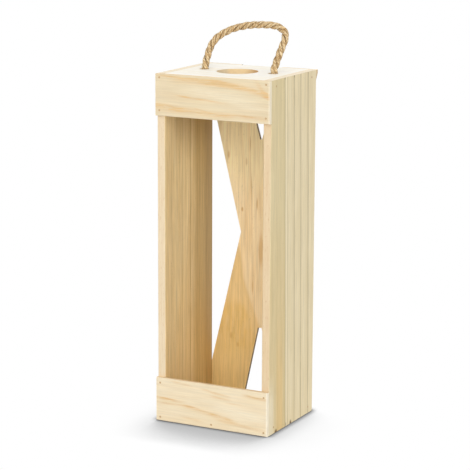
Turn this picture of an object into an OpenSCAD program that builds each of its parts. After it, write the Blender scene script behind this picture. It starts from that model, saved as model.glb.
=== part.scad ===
// Open-fronted carrier box for one bottle, in thin pine with a rope handle.
// X runs across the front, Y from the front to the rear, Z up from the base.
// The origin is at the middle of the base. All sizes are in millimetres.

/* [Box] */
// Width over the outer faces of the two sides
box_w = 110; // [108:1:150]
// Height from the base to the top face
box_h = 310; // [290:1:360]
// Depth of each side board, front edge to rear edge
side_d = 88; // [80:1:120]
// Thickness of the side boards
side_t = 7.5; // [6:0.5:10]
// Thickness of the top board
top_t = 7.5; // [6:0.5:12]
// Thickness of the bottom board
bottom_t = 7.5; // [6:0.5:12]
// Width of the eased corner along each board's length
arris = 0.4; // [0.2:0.1:0.8]

/* [Front rails] */
// Thickness of the two front rails
rail_t = 3.5; // [2.5:0.5:6]
// Height of the rail across the top
top_rail_h = 36.5; // [30:0.5:60]
// Height of the rail across the foot
bottom_rail_h = 39.5; // [30:0.5:60]

/* [Cross-shaped back] */
// Thickness of the back sheet
back_t = 3; // [2.5:0.5:6]
// Width of the sheet across its waist
waist_w = 36.4; // [24:0.2:44]
// Height of the waist above the base
waist_z = 158; // [145:0.5:170]
// Width of the sheet across its foot
foot_w = 106.4; // [104:0.2:108]
// Upright part of the sheet's edge at its upper corners
top_land = 3; // [0.5:0.5:6]
// Upright part of the sheet's edge at its lower corners
bottom_land = 11; // [8:0.5:14]
// Distance of both notches to the right of the middle
notch_x = 1.5; // [-2:0.5:2]
// Width of the upper notch at the top
top_notch_w = 40; // [30:1:42]
// Depth of the upper notch
top_notch_h = 66; // [50:1:75]
// Width of the upper notch's blunt tip
top_notch_tip = 1.8; // [0.6:0.2:6]
// Width of the lower notch at the foot
bottom_notch_w = 34; // [20:1:38]
// Depth of the lower notch
bottom_notch_h = 70.5; // [50:0.5:75]
// Width of the lower notch's blunt tip
bottom_notch_tip = 3.8; // [0.6:0.2:6]

/* [Holes in the top] */
// Diameter of the hole for the bottle's neck
neck_hole_d = 36.5; // [30:0.5:40]
// Distance between the centres of the two rope holes
rope_hole_span = 67; // [64:1:70]
// Distance of the rope holes behind the middle of the top
rope_hole_back = 2; // [0:0.5:6]
// Diameter of each rope hole
rope_hole_d = 9; // [7.5:0.5:10]

/* [Rope handle] */
// Diameter of the rope
rope_d = 6.5; // [6:0.1:6.8]
// Angle that the handle leans back from upright
handle_lean = 22; // [0:1:40]
// Slack between the strands of the stopper knots
knot_slack = 0.8; // [0.6:0.1:1]
// Gap between the rope and what it lies next to
rope_gap = 0.3; // [0.2:0.05:0.5]
// Length of the tail below each stopper knot
tail_l = 5; // [3:1:12]

/* [Brads] */
// Diameter of a brad's shank
brad_d = 1.2; // [0.8:0.1:1.5]
// Diameter of a brad's head
brad_head_d = 1.8; // [1.6:0.1:2.4]
// Thickness of a brad's head
brad_head_t = 0.5; // [0.4:0.1:1]
// Length of a brad, head and point included
brad_l = 20; // [16:1:25]
// Gap all round a brad in its hole
brad_gap = 0.05; // [0.02:0.01:0.1]
// Distance from the ends of the rails to the brads beside them
rail_brad_in = 3.75; // [3:0.25:5]
// Distance from the top or foot to the nearest brads in the rails
rail_brad_near = 3.2; // [2.5:0.1:4]
// Distance from a rail's inner edge to the brads beside it
rail_brad_far = 4.8; // [3:0.1:8]
// Distance from a side's front and rear edges to the brads through it
side_brad_in = 9; // [8:1:20]
// Distance from the top or foot to the brads through the sides
side_brad_z = 5.6; // [5.2:0.1:5.8]
// Distance from the box's faces to the back's corner brads, inwards
back_brad_in = 4.5; // [4:0.1:5]
// Distance from the top or foot to the back's corner brads
back_brad_z = 10; // [9:0.5:12]
// Distance of the back's middle brads from the centre line
back_brad_mid = 27; // [25:1:29]

/* [Hidden] */

round_fn = 64;
brad_fn = 24;
rope_sides = 12;
knot_sides = 8;
through = 1;             // how far a cut runs past a face

half_w = box_w / 2;
inner_w = box_w - 2 * side_t;
front_y = -(rail_t + side_d + back_t) / 2;
side_front_y = front_y + rail_t;
side_rear_y = side_front_y + side_d;
rear_y = side_rear_y + back_t;
mid_y = (side_front_y + side_rear_y) / 2;

// Brads: x and z on the front and back faces, y and z on the sides
rail_brad_x = half_w - rail_brad_in;
top_rail_z = box_h - top_rail_h;
top_rail_brads = [for (x = [-1, 1], z = [box_h - rail_brad_near, top_rail_z + rail_brad_far])
    [x * rail_brad_x, z]];
bottom_rail_brads = [for (x = [-1, 1], z = [rail_brad_near, bottom_rail_h - rail_brad_far])
    [x * rail_brad_x, z]];
foot_brad = [0, rail_brad_near];
side_brad_y = [side_front_y + side_brad_in, side_rear_y - side_brad_in];
side_top_brads = [for (y = side_brad_y) [y, box_h - side_brad_z]];
side_bottom_brads = [for (y = side_brad_y) [y, side_brad_z]];
back_brad_x = half_w - back_brad_in;
back_top_brads = [for (x = [-1, 1])
    each [[x * back_brad_x, box_h - back_brad_z], [x * back_brad_mid, box_h - top_t / 2]]];
back_bottom_brads = [for (x = [-1, 1])
    each [[x * back_brad_x, back_brad_z], [x * back_brad_mid, bottom_t / 2]]];

// The handle turns about the line through the two hole mouths
rope_r = rope_d / 2;
pivot_z = box_h + rope_r + rope_gap;
hole_x = rope_hole_span / 2;

// The rope lies against the right of its holes
rope_lie = (rope_hole_d - rope_d) / 2 - rope_gap;
rope_y = mid_y + rope_hole_back;

// Route of the handle in its own plane: across from the middle of its feet, and up from the
// pivot line, as drawn for feet at route_x from the middle
route_x = 33.5;
route_points = [
    [-33.5, 0], [-33.4, 5], [-32.9, 10], [-32.1, 15], [-30.5, 20], [-27.5, 24.5], [-23.5, 28.2],
    [-18.5, 31.3], [-13, 33.8], [-7, 35.9], [-0.5, 37.5], [6, 38.4], [12.5, 38.9], [19, 39.1],
    [25, 38.9], [30, 37.9], [34.2, 36], [37.2, 33.2], [38.6, 29.5], [38.4, 25],
    [37.2, 20], [36.1, 15], [35.1, 10], [34.3, 5], [33.5, 0]
];
handle_route = [for (p = route_points) [p[0] * hole_x / route_x + rope_lie, p[1]]];

// Stopper knot: an overhand knot whose loop winds twice round a ring, in strand radii
strand_r = (rope_d + knot_slack) / 2;
ring_r = strand_r + (rope_d + knot_slack) / sqrt(3);
knot_step = 30;
lead_x = 1.4 * rope_d;
knot_lead = [[lead_x, 2.3 * rope_d, 0.15 * rope_d], [1.25 * rope_d, 1.55 * rope_d, 0.46 * rope_d]];
knot_loop = [for (a = [60:knot_step:660])
    let (r = ring_r + strand_r * cos(1.5 * a)) [r * cos(a), r * sin(a), strand_r * sin(1.5 * a)]];
knot_half = max([for (p = knot_loop) p[1]]) + rope_r;
knot_drop = top_t + rope_gap + knot_half;   // from the top face to the knot's middle
knot_route = concat(
    [[lead_x, knot_drop, knot_lead[0][2]]],
    knot_lead,
    knot_loop,
    [for (i = [1, 0]) [knot_lead[i][0], -knot_lead[i][1], -knot_lead[i][2]]],
    [[lead_x, -knot_half - tail_l, 0]]
);

// ---------- shared forms ----------

function unit(v) = v / norm(v);

function heading(p, i) = unit(p[min(i + 1, len(p) - 1)] - p[max(i - 1, 0)]);

// A direction square to the route at each point, carried along it without twist
function sideways(p, u, i = 0) = i == len(p) ? [] :
    let (t = heading(p, i), v = unit(u - (u * t) * t)) concat([v], sideways(p, v, i + 1));

function ring(c, t, v, r, n) =
    let (w = cross(t, v)) [for (k = [0:n - 1]) c + r * (cos(k * 360 / n) * v + sin(k * 360 / n) * w)];

// Tube of n sides along the points p, with radius r[i] at each point
module tube(p, r, n, u) {
    sides = sideways(p, u);
    last = len(p) - 1;
    rings = [for (i = [0:last]) each ring(p[i], heading(p, i), sides[i], r[i], n)];
    ends = [p[0], p[last]];
    walls = [for (i = [0:last - 1], k = [0:n - 1])
        let (a = i * n + k, b = i * n + (k + 1) % n) each [[a, a + n, b], [b, a + n, b + n]]];
    caps = [for (k = [0:n - 1])
        each [
            [len(rings), k, (k + 1) % n],
            [len(rings) + 1, last * n + (k + 1) % n, last * n + k]
        ]];
    polyhedron(points = concat(rings, ends), faces = concat(walls, caps));
}

// Rectangle with its four corners eased
module eased_rect(w, h) {
    polygon([
        [arris, 0], [w - arris, 0], [w, arris], [w, h - arris],
        [w - arris, h], [arris, h], [0, h - arris], [0, arris]
    ]);
}

// Board whose length runs along X, from its lowest corner
module board_along_x(l, d, h) {
    rotate([90, 0, 90])
        linear_extrude(l)
            eased_rect(d, h);
}

// Board whose length runs along Z, from its lowest corner
module board_along_z(w, d, l) {
    linear_extrude(l)
        eased_rect(w, d);
}

module brad_form(gap) {
    point_l = brad_d;
    $fn = brad_fn;
    cylinder(d = brad_head_d + 2 * gap, h = brad_head_t + gap);
    cylinder(d = brad_d + 2 * gap, h = brad_l - point_l);
    translate([0, 0, brad_l - point_l])
        cylinder(d1 = brad_d + 2 * gap, d2 = brad_d / 2, h = point_l + gap);
}

module brad() {
    color("dimgray") brad_form(0);
}

module brad_hole() {
    $fn = brad_fn;
    brad_form(brad_gap);
    translate([0, 0, -through])
        cylinder(d = brad_head_d + 2 * brad_gap, h = through + brad_head_t);
}

// Children at sites on the front, driven to the rear
module on_front(sites) {
    for (s = sites)
        translate([s[0], front_y, s[1]])
            rotate([-90, 0, 0])
                children();
}

// Children at sites on the back, driven to the front
module on_back(sites) {
    for (s = sites)
        translate([s[0], rear_y, s[1]])
            rotate([90, 0, 0])
                children();
}

// Children at sites on one side's outer face, driven inwards; hand is -1 left, 1 right
module on_side(hand, sites) {
    for (s = sites)
        translate([hand * half_w, s[0], s[1]])
            rotate([0, -90 * hand, 0])
                children();
}

// ---------- boards ----------

module side(hand) {
    color("wheat")
        difference() {
            translate([hand > 0 ? half_w - side_t : -half_w, side_front_y, 0])
                board_along_z(side_t, side_d, box_h);
            on_front(concat(top_rail_brads, bottom_rail_brads)) brad_hole();
            on_side(hand, concat(side_top_brads, side_bottom_brads)) brad_hole();
            on_back(concat(back_top_brads, back_bottom_brads)) brad_hole();
        }
}

module side_left() {
    side(-1);
}

module side_right() {
    side(1);
}

module top_board() {
    color("blanchedalmond")
        difference() {
            translate([-inner_w / 2, side_front_y, box_h - top_t])
                board_along_x(inner_w, side_d, top_t);
            translate([0, mid_y, box_h - top_t - through])
                cylinder(d = neck_hole_d, h = top_t + 2 * through, $fn = round_fn);
            for (x = [-hole_x, hole_x])
                translate([x, rope_y, box_h - top_t - through])
                    cylinder(d = rope_hole_d, h = top_t + 2 * through, $fn = round_fn);
            for (hand = [-1, 1])
                on_side(hand, side_top_brads) brad_hole();
            on_back(back_top_brads) brad_hole();
        }
}

module bottom_board() {
    color("blanchedalmond")
        difference() {
            translate([-inner_w / 2, side_front_y, 0])
                board_along_x(inner_w, side_d, bottom_t);
            for (hand = [-1, 1])
                on_side(hand, side_bottom_brads) brad_hole();
            on_front([foot_brad]) brad_hole();
            on_back(back_bottom_brads) brad_hole();
        }
}

module front_rail(z, h, brads) {
    color("moccasin")
        difference() {
            translate([-half_w, front_y, z])
                board_along_x(box_w, rail_t, h);
            on_front(brads) brad_hole();
        }
}

module front_top_rail() {
    front_rail(top_rail_z, top_rail_h, top_rail_brads);
}

module front_bottom_rail() {
    front_rail(0, bottom_rail_h, concat(bottom_rail_brads, [foot_brad]));
}

// One long edge of the sheet from foot to top; hand is -1 left, 1 right
function long_edge(hand) = [
    [hand * foot_w / 2, 0], [hand * foot_w / 2, bottom_land], [hand * waist_w / 2, waist_z],
    [hand * half_w, box_h - top_land], [hand * half_w, box_h]
];

// A notch's corners from right to left, from the sheet's end at z in to tip_z
function notch(w, tip_w, z, tip_z) = [
    [notch_x + w / 2, z], [notch_x + tip_w / 2, tip_z],
    [notch_x - tip_w / 2, tip_z], [notch_x - w / 2, z]
];

function reversed(p) = [for (i = [len(p) - 1:-1:0]) p[i]];

// One sheet with a wide notch in each long edge and a narrow one at each end
module x_outline() {
    polygon(concat(
        long_edge(1),
        notch(top_notch_w, top_notch_tip, box_h, box_h - top_notch_h),
        reversed(long_edge(-1)),
        reversed(notch(bottom_notch_w, bottom_notch_tip, 0, bottom_notch_h))
    ));
}

module x_back() {
    color("burlywood")
        difference() {
            translate([0, rear_y, 0])
                rotate([90, 0, 0])
                    linear_extrude(back_t)
                        x_outline();
            on_back(concat(back_top_brads, back_bottom_brads)) brad_hole();
        }
}

// ---------- rope ----------

// The free loop, with a round end at each pivot
module rope_handle() {
    falling = [80, 55, 30];
    rising = [30, 55, 80];
    first_x = handle_route[0][0];
    last_x = handle_route[len(handle_route) - 1][0];
    flat = concat(
        [for (a = falling) [first_x, -rope_r * sin(a)]],
        handle_route,
        [for (a = rising) [last_x, -rope_r * sin(a)]]
    );
    radii = concat(
        [for (a = falling) rope_r * cos(a)],
        [for (p = handle_route) rope_r],
        [for (a = rising) rope_r * cos(a)]
    );
    path = [for (p = flat) [p[0], rope_y + p[1] * sin(handle_lean), pivot_z + p[1] * cos(handle_lean)]];
    color("darkkhaki")
        tube(path, radii, rope_sides, [1, 0, 0]);
}

// Rope through one hole, tied in an overhand knot under the board
module rope_knot(x) {
    path = [for (p = knot_route)
        [x + rope_lie + p[2] - knot_lead[0][2], rope_y + lead_x - p[0], box_h - knot_drop + p[1]]];
    color("darkkhaki")
        tube(path, [for (p = path) rope_r], knot_sides, [1, 0, 0]);
}

module rope_knot_left() {
    rope_knot(-hole_x);
}

module rope_knot_right() {
    rope_knot(hole_x);
}

// ---------- brads ----------

module brads_top_rail() {
    on_front(top_rail_brads) brad();
}

module brads_bottom_rail() {
    on_front(concat(bottom_rail_brads, [foot_brad])) brad();
}

module brads_left_top() {
    on_side(-1, side_top_brads) brad();
}

module brads_left_bottom() {
    on_side(-1, side_bottom_brads) brad();
}

module brads_right_top() {
    on_side(1, side_top_brads) brad();
}

module brads_right_bottom() {
    on_side(1, side_bottom_brads) brad();
}

module brads_back_top() {
    on_back(back_top_brads) brad();
}

module brads_back_bottom() {
    on_back(back_bottom_brads) brad();
}

side_left();
side_right();
top_board();
bottom_board();
front_top_rail();
front_bottom_rail();
x_back();
rope_handle();
rope_knot_left();
rope_knot_right();
brads_top_rail();
brads_bottom_rail();
brads_left_top();
brads_left_bottom();
brads_right_top();
brads_right_bottom();
brads_back_top();
brads_back_bottom();
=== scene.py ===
"""Looks of an open-fronted pine carrier box for one bottle, with a rope handle.

Lengths are in millimetres from the box's sizes on, and in any name that ends in _MM. Those of
the camera and the floor are in metres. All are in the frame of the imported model: X right, Y to
the rear, Z up.
"""

import math

import bpy
import numpy as np
from mathutils import Matrix, Vector


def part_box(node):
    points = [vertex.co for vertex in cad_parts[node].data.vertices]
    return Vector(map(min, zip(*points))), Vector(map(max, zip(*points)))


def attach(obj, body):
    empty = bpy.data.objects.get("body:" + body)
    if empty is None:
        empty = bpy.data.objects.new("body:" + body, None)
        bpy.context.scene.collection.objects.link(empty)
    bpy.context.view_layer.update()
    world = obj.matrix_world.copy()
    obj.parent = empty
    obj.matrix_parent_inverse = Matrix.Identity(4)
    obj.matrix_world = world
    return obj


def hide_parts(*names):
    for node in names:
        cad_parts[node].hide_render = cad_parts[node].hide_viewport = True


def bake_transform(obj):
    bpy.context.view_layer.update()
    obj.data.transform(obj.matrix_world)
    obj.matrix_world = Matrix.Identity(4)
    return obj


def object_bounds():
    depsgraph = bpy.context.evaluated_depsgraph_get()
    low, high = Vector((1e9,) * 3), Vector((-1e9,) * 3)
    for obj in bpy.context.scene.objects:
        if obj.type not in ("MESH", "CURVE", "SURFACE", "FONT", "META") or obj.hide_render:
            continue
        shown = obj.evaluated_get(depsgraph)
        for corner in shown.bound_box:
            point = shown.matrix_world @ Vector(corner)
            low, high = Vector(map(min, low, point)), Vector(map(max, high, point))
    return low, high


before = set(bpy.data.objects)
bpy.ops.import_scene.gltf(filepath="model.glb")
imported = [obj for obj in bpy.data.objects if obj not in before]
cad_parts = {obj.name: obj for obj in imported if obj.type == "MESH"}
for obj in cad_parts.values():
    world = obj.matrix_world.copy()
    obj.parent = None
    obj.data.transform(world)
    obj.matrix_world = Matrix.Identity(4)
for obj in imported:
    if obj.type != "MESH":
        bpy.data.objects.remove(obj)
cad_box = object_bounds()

MM = 0.001

# ---------- shader arithmetic ----------

def srgb(red, green, blue):
    """Linear colour for a shader socket, from the usual 0 to 255 values."""
    linear = [(c / 255 / 12.92) if c <= 10 else ((c / 255 + 0.055) / 1.055) ** 2.4
              for c in (red, green, blue)]
    return (*linear, 1)


def tones(*colours):
    """Several colours for shader sockets, from the usual 0 to 255 values."""
    return [srgb(*colour) for colour in colours]


class Wire:
    """One value or vector in a shader. Arithmetic on it adds the nodes."""

    def __init__(self, graph, socket):
        self.graph = graph
        self.socket = socket

    def math(self, operation, *others):
        return self.graph.math(operation, self, *others)

    def __add__(self, other):
        return self.math("ADD", other)

    def __sub__(self, other):
        return self.math("SUBTRACT", other)

    def __rsub__(self, other):
        return self.graph.math("SUBTRACT", other, self)

    def __mul__(self, other):
        return self.math("MULTIPLY", other)

    def __truediv__(self, other):
        return self.math("DIVIDE", other)

    __radd__ = __add__
    __rmul__ = __mul__

    def abs(self):
        return self.math("ABSOLUTE")

    def max(self, other):
        return self.math("MAXIMUM", other)

    def floor(self):
        return self.math("FLOOR")

    def fraction(self):
        return self.math("FRACT")

    def root(self):
        return self.math("SQRT")

    def ease(self, low, high):
        """0 at low, 1 at high, smooth between; low may be the larger."""
        node = self.graph.node("ShaderNodeMapRange", Value=self)
        node.interpolation_type = "SMOOTHSTEP"
        if low < high:
            bounds = (low, high, 0, 1)
        else:
            bounds = (high, low, 1, 0)
        for name, value in zip(("From Min", "From Max", "To Min", "To Max"), bounds):
            node.inputs[name].default_value = value
        return Wire(self.graph, node.outputs[0])


class Graph:
    """Adds nodes to one node tree."""

    def __init__(self, tree):
        self.tree = tree

    def feed(self, socket, value):
        if isinstance(value, Wire):
            self.tree.links.new(value.socket, socket)
        else:
            socket.default_value = value

    def node(self, kind, **inputs):
        node = self.tree.nodes.new(kind)
        for name, value in inputs.items():
            self.feed(node.inputs[name], value)
        return node

    def math(self, operation, *values):
        node = self.node("ShaderNodeMath")
        node.operation = operation
        for socket, value in zip(node.inputs, values):
            self.feed(socket, value)
        return Wire(self, node.outputs[0])

    def vector(self, x, y, z):
        return Wire(self, self.node("ShaderNodeCombineXYZ", X=x, Y=y, Z=z).outputs[0])

    def parts(self, vector):
        node = self.node("ShaderNodeSeparateXYZ", Vector=vector)
        return [Wire(self, socket) for socket in node.outputs]

    def noise(self, vector, detail, roughness):
        """Smooth noise, mostly from 0.3 to 0.7, with features one unit apart."""
        node = self.node("ShaderNodeTexNoise", Vector=vector, Scale=1, Detail=detail,
                         Roughness=roughness)
        return Wire(self, node.outputs[0])

    def one_of(self, value):
        """A value from 0 to 1 that is picked anew at each whole number."""
        node = self.node("ShaderNodeTexWhiteNoise")
        node.noise_dimensions = "1D"
        self.feed(node.inputs["W"], value)
        return Wire(self, node.outputs["Value"])

    def curve(self, value, points):
        """Straight stretches through the points (x, y); x is from 0 to 1."""
        node = self.node("ShaderNodeFloatCurve", Value=value)
        line = node.mapping.curves[0]
        node.mapping.use_clip = False
        for index, (x, y) in enumerate(points):
            if index < 2:
                line.points[index].location = (x, y)
            else:
                line.points.new(x, y)
        for point in line.points:
            point.handle_type = "VECTOR"
        node.mapping.update()
        return Wire(self, node.outputs[0])

    def mix(self, share, a, b, blend="MIX"):
        node = self.node("ShaderNodeMix")
        node.data_type = "RGBA"
        node.blend_type = blend
        node.clamp_factor = True
        sockets = {s.identifier: s for s in node.inputs}
        self.feed(sockets["Factor_Float"], share)
        self.feed(sockets["A_Color"], a)
        self.feed(sockets["B_Color"], b)
        return Wire(self, next(s for s in node.outputs if s.identifier == "Result_Color"))

    def grey(self, value):
        """The colour whose red, green and blue are all the given value."""
        node = self.node("ShaderNodeCombineColor", Red=value, Green=value, Blue=value)
        return Wire(self, node.outputs[0])

    def coordinates(self):
        """The point in millimetres and the surface's direction, in the piece's own frame."""
        source = self.node("ShaderNodeTexCoord")
        scaled = self.node("ShaderNodeVectorMath")
        scaled.operation = "SCALE"
        scaled.inputs["Scale"].default_value = 1 / MM
        self.tree.links.new(source.outputs["Object"], scaled.inputs[0])
        point = self.parts(Wire(self, scaled.outputs[0]))
        direction = self.parts(Wire(self, source.outputs["Normal"]))
        return point, direction


def new_material(name):
    material = bpy.data.materials.new(name)
    material.use_nodes = True
    return material, Graph(material.node_tree)


def finish_surface(material, graph, colour, height, bump_mm, roughness, specular=0.35):
    """Joins a colour and a height from 0 to 1 to the material's own shader."""
    shader = material.node_tree.nodes["Principled BSDF"]
    graph.feed(shader.inputs["Base Color"], colour)
    graph.feed(shader.inputs["Roughness"], roughness)
    shader.inputs["Specular IOR Level"].default_value = specular
    bump = graph.node("ShaderNodeBump", Height=height, Distance=bump_mm * MM)
    graph.tree.links.new(bump.outputs[0], shader.inputs["Normal"])


def dress(names, material):
    for name in names:
        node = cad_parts[name]
        node.data.materials.clear()
        node.data.materials.append(material)


# ---------- camera, light and floor ----------

CAMERA_AT = (0.780085, -1.520966, 0.520473)
CAMERA_YAW = math.radians(27.1986)
CAMERA_PITCH = math.radians(11.751)
CAMERA_ROLL = math.radians(0.2703)
CAMERA_LENS = 151.469
SENSOR_WIDTH = 36

AMBIENT = 0.27            # the world's light on the object
KEY_LIGHT = 2.5           # broad and low, from the front and the right
KEY_FROM = (0.45, -1.0, 0.3)
KEY_SPREAD = math.radians(70)
TOP_LIGHT = 1.5           # from above and behind
TOP_FROM = (0.15, 0.45, 1.0)
TOP_SPREAD = math.radians(90)

FLOOR_SIZE = 8
FLOOR_COLOUR = 0.8        # what the floor gives back to the object
# The floor that the camera sees is white, and darker where the object closes off the space
# above it. The curves lead from how open that space is to how bright the floor is.
SHADE_REACH = 0.065       # how far off an object still shades the floor before it
SHADE_LEAN = (-0.7, 2.8, 1.0)
SHADE_CURVE = [(0, 0.46), (0.39, 0.5), (0.55, 0.59), (0.66, 0.71), (0.78, 0.87), (0.93, 1), (1, 1)]
BESIDE_MM = (52, 84)      # the shade is weaker this far out to each side of the middle
BESIDE_CUT = 0.7
CONTACT_REACH = 0.008     # how far the dark line of contact reaches, all round
CONTACT_CURVE = [(0, 0.08), (0.5, 0.22), (0.72, 0.66), (0.95, 1), (1, 1)]
OPENNESS_SAMPLES = 16


def add_camera():
    data = bpy.data.cameras.new("camera")
    data.sensor_width = SENSOR_WIDTH
    data.lens = CAMERA_LENS
    camera = bpy.data.objects.new("camera", data)
    turn = (Matrix.Rotation(CAMERA_YAW, 4, "Z")
            @ Matrix.Rotation(math.pi / 2 - CAMERA_PITCH, 4, "X")
            @ Matrix.Rotation(CAMERA_ROLL, 4, "Z"))
    camera.matrix_world = Matrix.Translation(CAMERA_AT) @ turn
    bpy.context.scene.collection.objects.link(camera)
    bpy.context.scene.camera = camera


def add_sun(name, towards, strength, spread):
    """A broad soft light that shines from the direction `towards`."""
    data = bpy.data.lights.new(name, "SUN")
    data.energy = strength
    data.angle = spread
    sun = bpy.data.objects.new(name, data)
    sun.rotation_euler = Vector(towards).to_track_quat("Z", "Y").to_euler()
    bpy.context.scene.collection.objects.link(sun)


def seen_directly(graph):
    """1 for what the camera, a gloss or glass sees, and 0 for light on the object."""
    path = graph.node("ShaderNodeLightPath")
    seen = Wire(graph, path.outputs["Is Camera Ray"])
    for kind in ("Is Glossy Ray", "Is Transmission Ray"):
        seen = seen.max(Wire(graph, path.outputs[kind]))
    return seen


def add_world():
    world = bpy.data.worlds.new("studio")
    world.use_nodes = True
    bpy.context.scene.world = world
    graph = Graph(world.node_tree)
    background = world.node_tree.nodes["Background"]
    background.inputs["Color"].default_value = (1, 1, 1, 1)
    strength = seen_directly(graph) * (1 - AMBIENT) + AMBIENT
    graph.feed(background.inputs["Strength"], strength)


def openness(graph, reach, lean, curve):
    """How open the space is on the side that `lean` points to, put through a curve."""
    space = graph.node("ShaderNodeAmbientOcclusion", Distance=reach,
                       Normal=graph.vector(*Vector(lean).normalized()))
    space.samples = OPENNESS_SAMPLES
    return graph.curve(Wire(graph, space.outputs["AO"]), curve)


def floor_material():
    """White with the object's shade where it is seen, and plain where it lights the object."""
    material, graph = new_material("floor_white")
    tree = material.node_tree
    tree.nodes.remove(tree.nodes["Principled BSDF"])
    point, _ = graph.coordinates()
    light = openness(graph, SHADE_REACH, SHADE_LEAN, SHADE_CURVE)
    light = light + (1 - light) * point[0].abs().ease(*BESIDE_MM) * BESIDE_CUT
    light = light * openness(graph, CONTACT_REACH, (0, 0, 1), CONTACT_CURVE)
    given = graph.node("ShaderNodeBsdfDiffuse", Color=(FLOOR_COLOUR,) * 3 + (1,))
    seen = graph.node("ShaderNodeEmission", Color=graph.grey(light))
    choice = graph.node("ShaderNodeMixShader")
    graph.feed(choice.inputs[0], seen_directly(graph))
    tree.links.new(given.outputs[0], choice.inputs[1])
    tree.links.new(seen.outputs[0], choice.inputs[2])
    tree.links.new(choice.outputs[0], tree.nodes["Material Output"].inputs["Surface"])
    return material


def add_floor():
    mesh = bpy.data.meshes.new("floor")
    half = FLOOR_SIZE / 2
    mesh.from_pydata([(-half, -half, 0), (half, -half, 0), (half, half, 0), (-half, half, 0)],
                     [], [(0, 1, 2, 3)])
    mesh.materials.append(floor_material())
    floor = bpy.data.objects.new("floor", mesh)
    bpy.context.scene.collection.objects.link(floor)


# ---------- the box's own sizes ----------

BOX_LOW, BOX_HIGH = cad_box
HALF_W = BOX_HIGH.x / MM
FRONT_Y = BOX_LOW.y / MM
REAR_Y = BOX_HIGH.y / MM
LEFT_LOW, LEFT_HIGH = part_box("side_left")
LEFT_INNER_X = LEFT_HIGH.x / MM
SIDE_FRONT_Y = LEFT_LOW.y / MM
SIDE_DEPTH = 88
BOX_H = LEFT_HIGH.z / MM
TOP_RAIL_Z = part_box("front_top_rail")[0].z / MM


# ---------- pine ----------

MARK_SPREAD = 1.45        # how far the marks fade out past their reach
LINE_HEIGHT = 175         # the u at which the tables of lines give a line's place
LINE_SOFT_MM = (6.5, 0.4)  # how far the softer wood reaches before and behind a line

# Noise drawn out along the grain: its features' length and width, detail, offset, roughness
SWAY = (70, 18, 1, 4.1)
RIPPLE = (22, 3.2, 2, 9.7)
MARK_TEXTURE = (13, 0.75, 4, 2.2, 0.65)
LINE_SWAY = (90, 16, 1, 6.6)
LINE_PATCHES = (34, 3, 2, 3.3)
FIBRES = (16, 0.55, 3, 5.5, 0.65)
STREAKS = (46, 1.5, 3, 6.1, 0.6)
CANALS = (3.4, 0.42, 1, 8.8)
CANAL_PATCHES = (30, 6, 1, 3.9)
AMBER_PATCHES = (14, 3, 2, 7.7)

SWAY_MM = 2.4             # how far these move the grain across the board
RIPPLE_MM = 0.9
LINE_SWAY_MM = 0.9
FIBRE_CONTRAST = 0.2      # how much these lighten and darken the wood
STREAK_CONTRAST = 0.3
CANAL_CONTRAST = 0.16
GRAIN_BUMP_MM = 0.12


def streak(u, v, start, end, low, high, fade, bow):
    """A soft mark along the grain, from 0 to 1: `low` and `high` are its reach on each side."""
    (u0, v0), (u1, v1) = start, end
    share = (u - u0) / (u1 - u0)
    middle = share * (v1 - v0) + v0
    if bow:
        middle = middle + share * (1 - share) * (4 * bow)
    off = v - middle
    across = off.ease(-MARK_SPREAD * low, 0) * off.ease(MARK_SPREAD * high, 0)
    along = u.ease(u0 - fade, u0 + fade) * u.ease(u1 + fade, u1 - fade)
    return across * along


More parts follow.
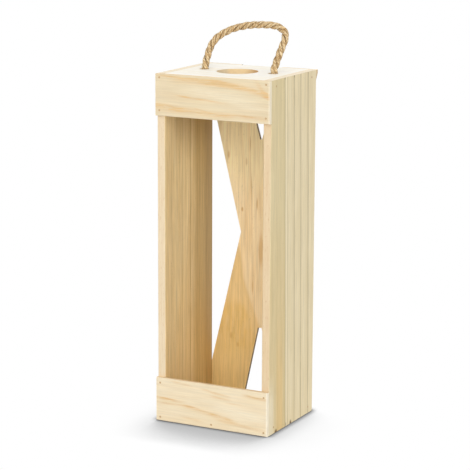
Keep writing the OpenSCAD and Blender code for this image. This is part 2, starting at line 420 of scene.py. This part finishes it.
class Pine:
    """Planed pine on one board: places along (u), across (v) and through (w) it, and its tones.

    Each method after base() lays tones over the ones that are there, and close() comes last.
    """

    def __init__(self, name, grain, across, zero, seed):
        self.material, self.graph = new_material(name)
        point, direction = self.graph.coordinates()
        axes = dict(zip("xyz", point))
        faces = dict(zip("xyz", direction))
        thin = next(a for a in "xyz" if a not in (grain, across))
        self.seed = seed
        self.axes = axes
        self.u = axes[grain] - zero[0]
        self.v = axes[across] - zero[1]
        self.w = axes[thin] - zero[2]
        self.end = faces[grain].abs().ease(0.7, 0.9)
        self.edge = faces[across].abs().ease(0.7, 0.9)
        self.flat = faces[thin].abs()
        sway = self.grained(*SWAY) - 0.5
        ripple = self.grained(*RIPPLE) - 0.5
        self.bent = self.v + sway * SWAY_MM + ripple * RIPPLE_MM

    def grained(self, length, width, detail, offset, roughness=0.5):
        """Noise that is drawn out along the grain."""
        at = self.graph.vector(self.u / length + (self.seed * 7.3 + offset),
                               self.v / width + self.seed * 3.1, self.w / width)
        return self.graph.noise(at, detail, roughness)

    def tint(self, share, tone):
        self.colour = self.graph.mix(share, self.colour, tone)

    def base(self, tone, band_tone, rare_tone, length, width):
        """Two tones in broad soft bands, and a third in fewer."""
        bands = self.grained(length, width, 2, 1.7)
        rare = self.grained(length * 1.6, width * 0.45, 2, 2.9)
        self.colour = self.graph.mix(bands.ease(0.3, 0.72), tone, band_tone)
        self.tint(rare.ease(0.5, 0.8) * 0.5, rare_tone)

    def rings(self, pith, year, taper, show, tone):
        """Growth rings round a pith at (v, w)."""
        off_v = self.bent - pith[0]
        off_w = self.w - pith[1]
        phase = ((off_v * off_v + off_w * off_w).root() + self.u * taper) / year
        ring = phase.fraction()
        late = ring.ease(0.3, 0.9) * ring.ease(1.0, 0.92)
        late = late * (self.graph.one_of(phase.floor() + self.seed) * 0.8 + 0.2)
        self.tint(late * show, tone)

    def marks(self, marks, tones_by_name):
        """Streaks of single places; each starts with the name of its tone."""
        texture = self.grained(*MARK_TEXTURE).ease(0.36, 0.62) * 0.85 + 0.35
        for wanted, tone in tones_by_name.items():
            total = sum(streak(self.u, self.bent, *shape) * strength
                        for name, *shape, strength in marks if name == wanted)
            self.tint(total * texture, tone)

    def lines(self, lines, tone, soft_tone):
        """The late wood of single years, each with a softer band before it."""
        bent = self.v + (self.grained(*LINE_SWAY) - 0.5) * LINE_SWAY_MM
        patchy = self.grained(*LINE_PATCHES).ease(0.2, 0.6) * 0.6 + 0.4
        before, behind = LINE_SOFT_MM
        hard, soft = 0, 0
        for at, drift, width, strength in lines:
            off = bent + (self.u - LINE_HEIGHT) * drift - at
            hard = off.ease(-width, 0) * off.ease(width * 0.6, 0) * strength + hard
            soft = off.ease(-before, 0) * off.ease(behind, 0) * (0.4 * strength) + soft
        self.tint(soft, soft_tone)
        self.tint(hard * patchy, tone)

    def spots(self, spots, tone):
        """Short soft dashes."""
        for (u, v), length, width, strength in spots:
            along = (self.u - u) / length
            across = (self.v - v) / width
            dash = (along * along + across * across).root().ease(1, 0.3)
            self.tint(dash * strength, tone)

    def close(self, contrast, end_tones, edge_tones=None):
        """Fibres and resin canals over the colour, then the narrow edges and the cut ends."""
        g = self.graph
        fibre = self.grained(*FIBRES)
        streaky = self.grained(*STREAKS)
        canals = self.grained(*CANALS).ease(0.66, 0.76)
        canals = canals * self.grained(*CANAL_PATCHES).ease(0.4, 0.6)
        shade = ((fibre - 0.5) * (FIBRE_CONTRAST * contrast)
                 + (streaky - 0.5) * (STREAK_CONTRAST * contrast) + 1.0)
        shade = shade * (1.0 - canals * (CANAL_CONTRAST * contrast))
        self.colour = g.mix(1.0, self.colour, g.grey(shade), "MULTIPLY")
        if edge_tones:
            tone, band_tone, dash_tone = edge_tones
            far = self.v / 40 + self.seed
            band = g.noise(g.vector(self.u / 30, self.w / 1.1, far), 3, 0.6)
            dash = g.noise(g.vector(self.u / 4.5, self.w / 0.9, far), 2, 0.6)
            cut = g.mix(band.ease(0.35, 0.65), tone, band_tone)
            self.tint(self.edge, g.mix(dash.ease(0.58, 0.72) * 0.5, cut, dash_tone))
        pores = g.noise(g.vector(self.u, self.v * 2.5, self.w * 2.5), 2, 0.6)
        self.tint(self.end, g.mix(pores.ease(0.35, 0.65), *end_tones))
        height = fibre * 0.6 + streaky * 0.4 - canals * 0.5
        finish_surface(self.material, g, self.colour, height, GRAIN_BUMP_MM, fibre * 0.16 + 0.5)
        return self.material


# ---------- boards ----------

# Marks of the grain: tone, start (u, v), end (u, v), reach below and above, fade, bow, strength
TOP_RAIL_MARKS = [
    ("amber", (0, 35.6), (62, 33.6), 1.2, 0.8, 14, 0, 0.8),
    ("amber", (20, 33.0), (78, 30.6), 3.6, 1.8, 12, 0, 0.8),
    ("amber", (50, 32.0), (112, 23.5), 3.4, 2.6, 12, 1.8, 0.95),
    ("amber", (98, 33), (112, 19), 3.4, 3.4, 6, 0, 0.7),
    ("orange", (104, 22.5), (112, 21), 1.6, 1.8, 4, 0, 0.6),
    ("amber", (24, 18.8), (66, 15.0), 1.1, 0.8, 7, 0, 0.8),
    ("amber", (12, 20.0), (48, 15.5), 4.0, 3.0, 10, 0, 0.2),
    ("amber", (34, 9.6), (52, 6.6), 0.9, 0.7, 6, 0, 0.4),
    ("amber", (-4, 11.0), (24, 7.0), 4.4, 2.6, 9, 0, 0.9),
    ("amber", (18, 7.4), (70, 4.4), 2.8, 2.6, 10, 0, 0.75),
    ("amber", (66, 5.0), (106, 4.4), 2.4, 2.0, 8, 0, 0.6),
    ("orange", (84, 5.0), (94, 4.6), 1.3, 1.2, 5, 0, 0.6),
    ("pale", (36, 25.0), (95, 15.5), 5.5, 6.0, 18, 0, 0.4),
]
BOTTOM_RAIL_MARKS = [
    ("amber", (-4, 21.6), (26, 20.4), 2.0, 1.4, 8, 0, 0.75),
    ("orange", (6, 21.8), (18, 20.8), 0.8, 0.8, 5, 0, 0.6),
    ("amber", (2, 17.4), (36, 16.6), 1.6, 1.2, 8, 0, 0.6),
    ("orange", (30, 17.6), (42, 16.0), 1.2, 1.0, 5, 0, 0.7),
    ("amber", (28, 17.0), (60, 13.0), 2.4, 1.4, 8, 0, 0.55),
    ("amber", (50, 13.4), (78, 10.0), 1.8, 1.4, 8, 0, 0.75),
    ("amber", (60, 9.4), (108, 4.6), 2.2, 1.6, 9, 0, 0.6),
    ("amber", (16, 37.0), (34, 36.0), 1.2, 1.0, 5, 0, 0.6),
    ("amber", (46, 34.6), (72, 31.4), 1.6, 1.2, 6, 0, 0.6),
    ("amber", (56, 29.6), (72, 28.4), 1.1, 1.0, 6, 0, 0.7),
    ("amber", (70, 25.4), (84, 25.2), 1.0, 0.8, 6, 0, 0.4),
    ("amber", (88, 34.4), (110, 33.0), 2.2, 1.6, 6, 0, 0.8),
    ("amber", (28, 6.0), (44, 4.6), 1.6, 1.2, 6, 0, 0.5),
    ("pale", (60, 20.0), (108, 15.0), 5.0, 5.0, 16, 0, 0.5),
]
# Lines of late wood: place across at LINE_HEIGHT, drift, width, strength
RIGHT_LINES = [
    (12.6, 0.022, 1.2, 0.35), (20.5, 0.022, 1.0, 0.25), (28.3, 0.022, 0.9, 1.1),
    (33.8, 0.022, 0.7, 0.6), (46.6, 0.023, 0.9, 1.0), (60.0, 0.024, 0.9, 0.9),
    (74.9, 0.026, 1.0, 1.1),
]
LEFT_LINES = [
    (11.5, 0, 1.2, 0.3), (21.0, 0, 0.8, 0.25), (26.5, 0, 0.7, 0.2), (31.3, 0, 0.9, 0.5),
    (37.5, 0, 0.7, 0.25), (46.2, 0, 1.1, 0.9), (52.0, 0, 0.7, 0.3), (58.7, 0, 1.2, 1.0),
    (63.4, 0, 1.0, 0.75), (69.8, 0, 0.9, 0.45), (76.6, 0, 1.4, 0.9),
]
# Spots: place (u, v), half length, half width, strength
RIGHT_DARK_SPOTS = [
    ((0, 13.4), 3.6, 3.4, 0.95), ((0, 42.9), 4.4, 2.6, 0.95), ((1.5, 33.5), 3.0, 1.0, 0.6),
    ((310, 25.4), 3.0, 1.2, 0.6), ((310, 43.6), 3.0, 1.2, 0.6),
]
BACK_SPOTS = [
    ((142, 57), 22, 3.4, 0.6), ((228, 24), 5, 1.6, 0.5), ((223, 42), 5, 1.4, 0.4),
    ((179, 38), 3, 1.6, 0.7), ((185, 53), 8, 0.9, 0.7), ((240, 46), 9, 0.8, 0.5),
    ((200, 47), 14, 0.7, 0.4), ((60, 27), 4, 2.0, 0.5), ((52, 34), 3, 2.0, 0.5),
    ((108, 49), 9, 1.2, 0.5),
]

RAIL_TONES = {"amber": srgb(226, 192, 140), "orange": srgb(222, 176, 118),
              "pale": srgb(242, 232, 208)}
# The rails' cut ends are pale end grain, made paler by a painted highlight
RAIL_ENDS_WITH_HIGHLIGHT = tones((248, 237, 212), (243, 229, 201))
RAIL_EDGES = tones((238, 214, 172), (228, 196, 150), (205, 160, 110))
SIDE_ENDS = tones((248, 236, 212), (238, 220, 188))


def rail(name, node, zero_z, seed, base_tones, marks, painted_highlight):
    """A front rail. The last argument is how strongly a painted highlight lightens its right
    corner, where a rounded corner would catch the light.
    """
    board = Pine(name, "x", "z", (-HALF_W, zero_z, FRONT_Y), seed)
    board.base(*base_tones, length=40, width=8)
    board.rings(pith=(54, 40), year=4.6, taper=0.03, show=0.07, tone=srgb(222, 192, 142))
    board.marks(marks, RAIL_TONES)
    # Painted highlight down the right corner, where a rounded corner would catch the light
    board.tint(board.u.ease(108.0, 109.2) * painted_highlight, srgb(248, 238, 218))
    dress([node], board.close(0.9, RAIL_ENDS_WITH_HIGHLIGHT, RAIL_EDGES))


def side(name, node, zero_x, seed, base_tones, lines, line_tones, more_tones, contrast, edges):
    board = Pine(name, "z", "y", (0, SIDE_FRONT_Y, zero_x), seed)
    board.base(*base_tones, length=60, width=8)
    board.lines(lines, *line_tones)
    more_tones(board)
    dress([node], board.close(contrast, SIDE_ENDS, edges))


def right_side_tones(board):
    """Darker up to the strongest line, amber low down, and a bright year behind that line."""
    u = board.u
    across = board.bent + (u - LINE_HEIGHT) * 0.02
    front = across.ease(29.5, 27)
    bright = across.ease(29.4, 30.4) * across.ease(32.6, 31.4)
    amber = across.ease(9, 14) * across.ease(27, 20) * u.ease(130, 40)
    board.tint(front * 0.5, srgb(217, 198, 146))
    board.tint(front * u.ease(215, 130) * 0.35, srgb(218, 190, 134))
    board.tint(bright * 0.6, srgb(246, 234, 202))
    board.tint(amber * 0.55, srgb(232, 198, 134))
    board.tint(across.ease(9, 2) * u.ease(60, 20) * 0.6, srgb(248, 238, 212))
    # Small dark spots at the foot and the top edge
    board.spots(RIGHT_DARK_SPOTS, srgb(112, 82, 46))


def left_side_tones(board):
    """Gold near the front; on the face towards the bottle, painted shade makes it browner to the
    rear and at the top.
    """
    u, v = board.u, board.bent
    inner = board.axes["x"].ease(-53, -49)
    # Painted shade: the inner face darkens towards the rear, and most near the rear edge
    board.tint(inner * v.ease(44, 62) * 0.82, srgb(193, 163, 105))
    board.tint(inner * v.ease(70, 77) * 0.5, srgb(170, 138, 86))
    # Painted shadow near the top of the inner face, under the top rail and the top board
    board.tint(inner * u.ease(222, 268) * v.ease(4, 24) * 0.4, srgb(164, 130, 84))
    board.tint(inner * u.ease(150, 30) * 0.35, srgb(220, 180, 118))
    board.tint(v.ease(17, 12) * v.ease(3, 6) * 0.35, srgb(226, 196, 144))


def back_sheet():
    board = Pine("pine_back", "z", "x", (0, -HALF_W, REAR_Y), 6)
    g = board.graph
    u, v = board.u, board.bent
    board.base(*tones((248, 225, 184), (242, 213, 164), (251, 232, 198)), length=60, width=6)
    # Amber wood to the left of and below a slanting boundary
    inside = g.curve((150 - u) / 100, [(0, 36), (0.35, 40), (0.65, 51), (1, 64)]) - v
    deep = inside.ease(4, 12) * u.ease(100, 84) * u.ease(34, 56)
    patchy = board.grained(*AMBER_PATCHES).ease(0.35, 0.65) * 0.4 + 0.3
    board.tint(inside.ease(-2, 2.5) * u.ease(158, 132) * 0.75, srgb(234, 200, 136))
    board.tint(deep * patchy, srgb(230, 192, 114))
    board.tint(u.ease(72, 40) * v.ease(60, 30) * 0.6, srgb(224, 192, 126))
    board.tint(u.ease(180, 225) * 0.8, srgb(255, 238, 192))
    board.spots(BACK_SPOTS, srgb(206, 160, 92))
    board.rings(pith=(30, -40), year=2.2, taper=0.015, show=u.ease(90, 170) * 0.24 + 0.1,
                tone=srgb(214, 172, 108))
    # The sawn edges of the notches are dark, and darker still with painted shade as they face away
    # from the light; those at the box's sides are planed with it
    planed = board.axes["x"].abs().ease(48, 51)
    sawn_and_shaded_tones = tones((142, 120, 86), (116, 96, 66), (88, 70, 46))
    planed_tones = tones((226, 200, 156), (206, 178, 132), (180, 146, 100))
    edges = [g.mix(planed, *pair) for pair in zip(sawn_and_shaded_tones, planed_tones)]
    dress(["x_back"], board.close(2.0, tones((248, 234, 206), (240, 220, 186)), edges))


def top_and_bottom():
    board = Pine("pine_board", "x", "y", (-HALF_W, SIDE_FRONT_Y, BOX_H), 5)
    # Painted highlight: the near-white tones stand in for the glare on the top face, seen at a
    # grazing angle; the bottom board shares them
    board.base(*tones((254, 251, 243), (252, 246, 230), (255, 253, 247)), length=60, width=12)
    board.rings(pith=(40, -30), year=5, taper=0.01, show=0.08, tone=srgb(238, 210, 166))
    # The wall of the neck hole is tan, with painted shade that makes it darker to the right
    x, y = board.axes["x"], board.axes["y"]
    wall = (1 - board.flat).ease(0.5, 0.9) * (x * x + y * y).root().ease(24, 21)
    tan = board.graph.mix(x.ease(-4, 14), *tones((246, 219, 172), (226, 183, 130)))
    board.tint(wall, tan)
    ends = tones((240, 224, 192), (228, 206, 166))
    dress(["top_board", "bottom_board"], board.close(0.7, ends))


def make_boards():
    rail("pine_top_rail", "front_top_rail", TOP_RAIL_Z, 1,
         tones((231, 214, 180), (227, 208, 173), (234, 220, 191)), TOP_RAIL_MARKS, painted_highlight=0.4)
    rail("pine_bottom_rail", "front_bottom_rail", 0, 2,
         tones((240, 224, 193), (237, 218, 184), (242, 229, 204)), BOTTOM_RAIL_MARKS, painted_highlight=0.85)
    side("pine_side_right", "side_right", HALF_W, 3,
         tones((237, 221, 184), (232, 215, 175), (241, 227, 194)),
         RIGHT_LINES, tones((160, 138, 92), (214, 196, 150)), right_side_tones,
         contrast=1.4, edges=tones((231, 208, 171), (226, 199, 159), (204, 160, 116)))
    side("pine_side_left", "side_left", LEFT_INNER_X, 4,
         tones((241, 218, 170), (233, 206, 153), (244, 224, 180)),
         LEFT_LINES, tones((156, 118, 64), (204, 172, 116)), left_side_tones,
         contrast=2.3, edges=tones((237, 218, 186), (232, 209, 173), (208, 166, 122)))
    back_sheet()
    top_and_bottom()


# ---------- brads ----------

BRAD_BUMP_MM = 0.03
BRAD_METALLIC = 0.25      # the dull heads take on much of the wood's tone


def make_brads():
    material, graph = new_material("brad_steel")
    point, _ = graph.coordinates()
    pits = graph.noise(graph.vector(*[p * 3 for p in point]), 3, 0.6)
    colour = graph.mix(pits.ease(0.35, 0.7), *tones((214, 182, 138), (188, 152, 110)))
    finish_surface(material, graph, colour, pits, BRAD_BUMP_MM, pits * 0.2 + 0.45)
    shader = material.node_tree.nodes["Principled BSDF"]
    shader.inputs["Metallic"].default_value = BRAD_METALLIC
    dress([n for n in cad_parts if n.startswith("brads_")], material)


# ---------- rope ----------

ROPE_D = 6.5
ROPE_R = ROPE_D / 2
ROPE_GAP = 0.3             # what the handle's feet and the knots keep from the top board
TOP_T = 7.5                # thickness of the top board
HOLE_X = 33.5              # from the middle of the box to each of the rope's holes
HOLE_BACK = 2              # the rope's holes lie behind the middle of the top board
ROPE_LIE = 0.95            # the rope lies against the right of its holes
ROPE_Y = SIDE_FRONT_Y + SIDE_DEPTH / 2 + HOLE_BACK
PIVOT_Z = BOX_H + ROPE_R + ROPE_GAP
HANDLE_LEAN = math.radians(22)

# Route of the handle in its own plane: across from the middle of its feet, and up from the
# line that it turns about
HANDLE_ROUTE = [
    (-33.5, 0), (-33.4, 5), (-32.9, 10), (-32.1, 15), (-30.5, 20), (-27.5, 24.5), (-23.5, 28.2),
    (-18.5, 31.3), (-13, 33.8), (-7, 35.9), (-0.5, 37.5), (6, 38.4), (12.5, 38.9), (19, 39.1),
    (25, 38.9), (30, 37.9), (34.2, 36), (37.2, 33.2), (38.6, 29.5), (38.4, 25),
    (37.2, 20), (36.1, 15), (35.1, 10), (34.3, 5), (33.5, 0),
]

# Stopper knot: an overhand knot, whose rope winds round a ring while it goes along it
KNOT_SLACK = 0.8
KNOT_LEAD = [(1.4, 2.3, 0.15), (1.25, 1.55, 0.46)]      # the way in, in rope diameters
KNOT_WINDS = 1.5           # round the ring, for each turn along it
KNOT_START, KNOT_END, KNOT_STEP = 60, 660, 30           # degrees along the ring
TAIL_L = 5
KNOT_STRAND_R = (ROPE_D + KNOT_SLACK) / 2
KNOT_RING_R = KNOT_STRAND_R + (ROPE_D + KNOT_SLACK) / math.sqrt(3)

# Lay of the rope: three strands, each of yarns that are twisted the other way
STRANDS = 3
LAY_LENGTH = 22
STRAND_AT = 1.54           # from the rope's middle to a strand's
STRAND_R = 1.7
STRAND_WIDEN = 1.16        # how far a strand spreads sideways against its neighbours
LAY_UNEVEN = 0.2           # how far a strand strays from an even turn, in radians
LAY_UNEVEN_L = 14          # and over what length that changes
STRAND_UNEVEN = 0.05       # the same for a strand's thickness, as a share of it
STRAND_UNEVEN_L = 9
END_FLARE = 0.35           # the strands stand apart at the rope's cut ends
END_FLARE_L = 4
YARNS = 7
YARN_GROOVE = 0.2
YARN_GROOVE_POWER = 1.6    # higher for a wider and sharper groove
YARN_TURN = -0.4           # radians for each millimetre of rope

PATH_PIECES = 30           # straight pieces of the path from one given point to the next
RING_STEP = 0.4
RING_POINTS = 30
KNOT_SKIP = 2              # the hidden knots have every second ring and point
SPLIT_Z = BOX_H - 5.5      # inside the holes, where handle and knots are cut apart
ROPE_SEED = 7
ROPE_BUMP_MM = 0.25

# Loose fibres, each a thin tube of a few rings
HAIRS = 150
KNOT_HAIRS = 24
HAIR_R = 0.05
HAIR_RINGS = 5
HAIR_SIDES = (0, 2.1, 4.2)  # angles of its corners, in radians
HAIR_ROOT = 2.9            # from the rope's middle
HAIR_REACH = 5.6           # furthest that one stands from the rope's middle
HAIR_LENGTH = (2.0, 5.0)
HAIR_LEAN = (0.7, 1.4)     # along the rope
HAIR_CURL = 0.6


def knot_points():
    """One knot from its hole's upper end to its tail, in the rope's place across the box."""
    lead = [tuple(c * ROPE_D for c in point) for point in KNOT_LEAD]
    lead_x, _, lie = lead[0]
    loop = []
    for degrees in range(KNOT_START, KNOT_END + 1, KNOT_STEP):
        a = math.radians(degrees)
        r = KNOT_RING_R + KNOT_STRAND_R * math.cos(KNOT_WINDS * a)
        loop.append((r * math.cos(a), r * math.sin(a), KNOT_STRAND_R * math.sin(KNOT_WINDS * a)))
    half = max(p[1] for p in loop) + ROPE_R
    drop = TOP_T + ROPE_GAP + half
    out = [(x, -y, -z) for x, y, z in reversed(lead)]
    points = [(lead_x, drop, lie), *lead, *loop, *out, (lead_x, -half - TAIL_L, 0)]
    return [(z - lie + ROPE_LIE, ROPE_Y + lead_x - x, BOX_H - drop + y) for x, y, z in points]


def rope_points():
    """The whole rope in millimetres, from the left tail to the right one."""
    knot = knot_points()
    left = [(x - HOLE_X, y, z) for x, y, z in reversed(knot)]
    right = [(x + HOLE_X, y, z) for x, y, z in knot]
    lean_y, lean_z = math.sin(HANDLE_LEAN), math.cos(HANDLE_LEAN)
    handle = [(x + ROPE_LIE, ROPE_Y + up * lean_y, PIVOT_Z + up * lean_z)
              for x, up in HANDLE_ROUTE]
    return left + handle + right


def even_path(points, step):
    """Points about `step` apart on a smooth curve through the given ones."""
    p = np.array(points, float)
    ends = np.vstack([2 * p[0] - p[1], p, 2 * p[-1] - p[-2]])
    t = np.linspace(0, 1, PATH_PIECES, endpoint=False)[:, None]
    fine = []
    for before, a, b, after in zip(ends, ends[1:], ends[2:], ends[3:]):
        square = (2 * before - 5 * a + 4 * b - after) * t ** 2
        cube = (3 * a - before - 3 * b + after) * t ** 3
        fine.append(a + ((b - before) * t + (square + cube)) / 2)
    fine = np.vstack(fine + [p[-1:]])
    reached = np.concatenate([[0], np.cumsum(np.linalg.norm(np.diff(fine, axis=0), axis=1))])
    along = np.linspace(0, reached[-1], int(reached[-1] / step) + 1)
    return np.column_stack([np.interp(along, reached, fine[:, k]) for k in range(3)]), along


def carried_frames(path):
    """Directions square to the path, carried along it without twist."""
    ahead = np.gradient(path, axis=0)
    ahead /= np.linalg.norm(ahead, axis=1)[:, None]
    side = np.zeros_like(path)
    v = np.array([1.0, 0, 0])
    for i, t in enumerate(ahead):
        v = v - v.dot(t) * t
        v /= np.linalg.norm(v)
        side[i] = v
    return side, np.cross(ahead, side)


class RopeForm:
    """Positions and fibre coordinates all over the rope, from its smooth path."""

    def __init__(self):
        self.path, self.along = even_path(rope_points(), RING_STEP)
        self.side, self.up = carried_frames(self.path)
        self.rng = np.random.default_rng(ROPE_SEED)
        self.swell = [self.uneven(STRAND_UNEVEN_L) for _ in range(STRANDS)]
        self.sway = [self.uneven(LAY_UNEVEN_L) for _ in range(STRANDS)]

    def uneven(self, length):
        """A slow random change along the rope, mostly from -1 to 1."""
        knots = np.arange(0, self.along[-1] + 2 * length, length)
        values = self.rng.normal(0, 0.6, len(knots))
        return np.interp(self.along, knots, values)

    def strand(self, k, rows, angles):
        """Points of strand k at the given rows and angles.

        With each come its depth in the rope, its depth in a groove between two yarns, both from
        0 to 1, and its place along the rope and round the strand.
        """
        s = self.along[rows][:, None]
        turn = -2 * math.pi * s / LAY_LENGTH + 2 * math.pi * k / STRANDS
        turn = turn + LAY_UNEVEN * self.sway[k][rows][:, None]
        size = 1 + STRAND_UNEVEN * self.swell[k][rows][:, None]
        from_end = np.minimum(s, self.along[-1] - s)
        flare = END_FLARE * np.clip(1 - from_end / END_FLARE_L, 0, 1)
        yarn = angles[None, :] - YARN_TURN * s
        ridge = np.abs(np.cos(YARNS * yarn / 2))
        r = STRAND_R * size - YARN_GROOVE * (1 - ridge) ** YARN_GROOVE_POWER
        out = STRAND_AT + flare + r * np.cos(angles)[None, :]
        across = r * STRAND_WIDEN * np.sin(angles)[None, :]
        a = out * np.cos(turn) - across * np.sin(turn)
        b = out * np.sin(turn) + across * np.cos(turn)
        points = (self.path[rows][:, None, :] + a[..., None] * self.side[rows][:, None, :]
                  + b[..., None] * self.up[rows][:, None, :])
        depth = np.clip(1 - np.hypot(a, b) / (ROPE_R * size), 0, 1)
        around = yarn * STRAND_R
        # The third coordinate keeps the strands' textures apart
        fibre = np.stack([s + 0 * around, around, np.full_like(around, 9.0 * k)], axis=-1)
        return points, depth, 1 - ridge, fibre


def tube_faces(first, rows, points):
    """Quads of a closed tube whose rings start at vertex `first`, and its two end faces."""
    faces = []
    for i in range(rows - 1):
        for j in range(points):
            a = first + i * points + j
            b = first + i * points + (j + 1) % points
            faces.append((a, b, b + points, a + points))
    faces.append(tuple(first + j for j in reversed(range(points))))
    faces.append(tuple(first + (rows - 1) * points + j for j in range(points)))
    return faces


def hair_points(form, row):
    """A loose fibre that starts at the rope's surface, as the rings of a thin tube."""
    rng = form.rng
    middle = form.path[row]
    ahead = form.path[row + 1] - form.path[row - 1]
    ahead /= np.linalg.norm(ahead)
    turn = rng.uniform(0, 2 * math.pi)
    out = math.cos(turn) * form.side[row] + math.sin(turn) * form.up[row]
    aside = np.cross(ahead, out)
    aside /= np.linalg.norm(aside)
    length = rng.uniform(*HAIR_LENGTH)
    lean = ahead * rng.choice([-1, 1]) * rng.uniform(*HAIR_LEAN)
    curl = np.cross(out, ahead) * rng.normal(0, HAIR_CURL)
    root = middle + out * HAIR_ROOT
    points = []
    for t in np.linspace(0, 1, HAIR_RINGS):
        centre = root + (out * (t * 0.7 - 0.1) + lean * t + curl * t * t) * length * 0.6
        radius = HAIR_R * (1 - 0.7 * t)
        points += [centre + radius * (math.cos(a) * aside + math.sin(a) * out)
                   for a in HAIR_SIDES]
    # What stands out too far is drawn in towards the rope
    reach = np.array(points) - middle
    along = (reach @ ahead)[:, None] * ahead
    square = reach - along
    size = np.linalg.norm(square, axis=1)[:, None]
    square *= np.minimum(1, HAIR_REACH / np.maximum(size, 1e-6))
    return middle + along + square


def rope_piece(name, form, rows, points, hairs):
    """A mesh of the rope over the given rows of its path."""
    angles = np.linspace(0, 2 * math.pi, points, endpoint=False)
    tubes = [(*form.strand(k, rows, angles), len(rows), points) for k in range(STRANDS)]
    for _ in range(hairs):
        row = form.rng.choice(rows[2:-2])
        at = hair_points(form, row)
        plain = np.zeros(len(at))
        fibre = np.tile([form.along[row], 0, 40], (len(at), 1))
        tubes.append((at, plain, plain, fibre, HAIR_RINGS, len(HAIR_SIDES)))
    faces, first = [], 0
    for *_, rings, sides in tubes:
        faces += tube_faces(first, rings, sides)
        first += rings * sides
    vertices, depths, grooves, fibres, *_ = zip(*tubes)
    vertices = np.vstack([at.reshape(-1, 3) for at in vertices])
    fibres = np.vstack([at.reshape(-1, 3) for at in fibres])
    mesh = bpy.data.meshes.new(name)
    mesh.from_pydata(vertices * MM, [], faces)
    for key, values in (("depth", depths), ("groove", grooves)):
        values = np.concatenate([value.ravel() for value in values])
        mesh.attributes.new(key, "FLOAT", "POINT").data.foreach_set("value", values)
    fibre = mesh.attributes.new("fibre", "FLOAT_VECTOR", "POINT")
    fibre.data.foreach_set("vector", fibres.ravel())
    mesh.polygons.foreach_set("use_smooth", [len(f) == 4 for f in faces])
    piece = bpy.data.objects.new(name, mesh)
    bpy.context.scene.collection.objects.link(piece)
    return piece


def rope_material():
    material, graph = new_material("rope_fibre")

    def stored(name, output):
        node = graph.node("ShaderNodeAttribute")
        node.attribute_name = name
        return Wire(graph, node.outputs[output])

    depth = stored("depth", "Fac")
    groove = stored("groove", "Fac")
    s, around, strand = graph.parts(stored("fibre", "Vector"))
    fine = graph.noise(graph.vector(s / 2.2, around / 0.34, strand), 3, 0.65)
    patch = graph.noise(graph.vector(s / 5, around / 2.2, strand + 3), 2, 0.5)
    dark = graph.noise(graph.vector(s / 2.6, around / 0.9, strand + 5), 3, 0.65)
    # Painted shade in the creases, where the rope's surface lies deep between the strands
    painted_crease_shade = depth.ease(0.08, 0.36) * (patch.ease(0.6, 0.42) * 0.65 + 0.3)
    colour = graph.mix(patch.ease(0.36, 0.6), *tones((248, 226, 182), (206, 168, 112)))
    for share, tone in (
            (fine.ease(0.46, 0.68) * 0.85, (254, 240, 206)),   # bright fibres, partly painted highlight
            (dark.ease(0.48, 0.58) * 0.85, (150, 110, 64)),    # dark flecks, partly painted shade
            (groove.ease(0.4, 0.9) * 0.6, (138, 100, 58)),     # painted shade between the yarns
            (painted_crease_shade, (104, 74, 40))):                          # painted shade between the strands
        colour = graph.mix(share, colour, srgb(*tone))
    finish_surface(material, graph, colour, fine * 0.7 + dark * 0.3, ROPE_BUMP_MM, 0.78, 0.2)
    return material


def make_rope():
    form = RopeForm()
    rows = np.arange(len(form.along))
    above = np.flatnonzero(form.path[:, 2] > SPLIT_Z)
    left_cut, right_cut = above[0], above[-1]
    material = rope_material()
    handle = rope_piece("rope_loop", form, rows[left_cut:right_cut + 1], RING_POINTS, HAIRS)
    left_rows = rows[:left_cut + 1][::KNOT_SKIP]
    right_rows = rows[right_cut:][::KNOT_SKIP]
    points = RING_POINTS // KNOT_SKIP
    left = rope_piece("rope_stopper_left", form, left_rows, points, KNOT_HAIRS)
    right = rope_piece("rope_stopper_right", form, right_rows, points, KNOT_HAIRS)
    for piece in (handle, left, right):
        piece.data.materials.append(material)
    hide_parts("rope_handle")
    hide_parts("rope_knot_left")
    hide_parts("rope_knot_right")
    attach(left, "box")
    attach(right, "box")
    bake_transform(handle)
    path = [tuple(p * MM) for p in form.path[left_cut:right_cut + 1]]
    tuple(path[0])


add_camera()
add_world()
add_floor()
add_sun("key_light", KEY_FROM, KEY_LIGHT, KEY_SPREAD)
add_sun("top_light", TOP_FROM, TOP_LIGHT, TOP_SPREAD)
make_boards()
make_brads()
make_rope()

bpy.context.scene.view_settings.view_transform = "Standard"
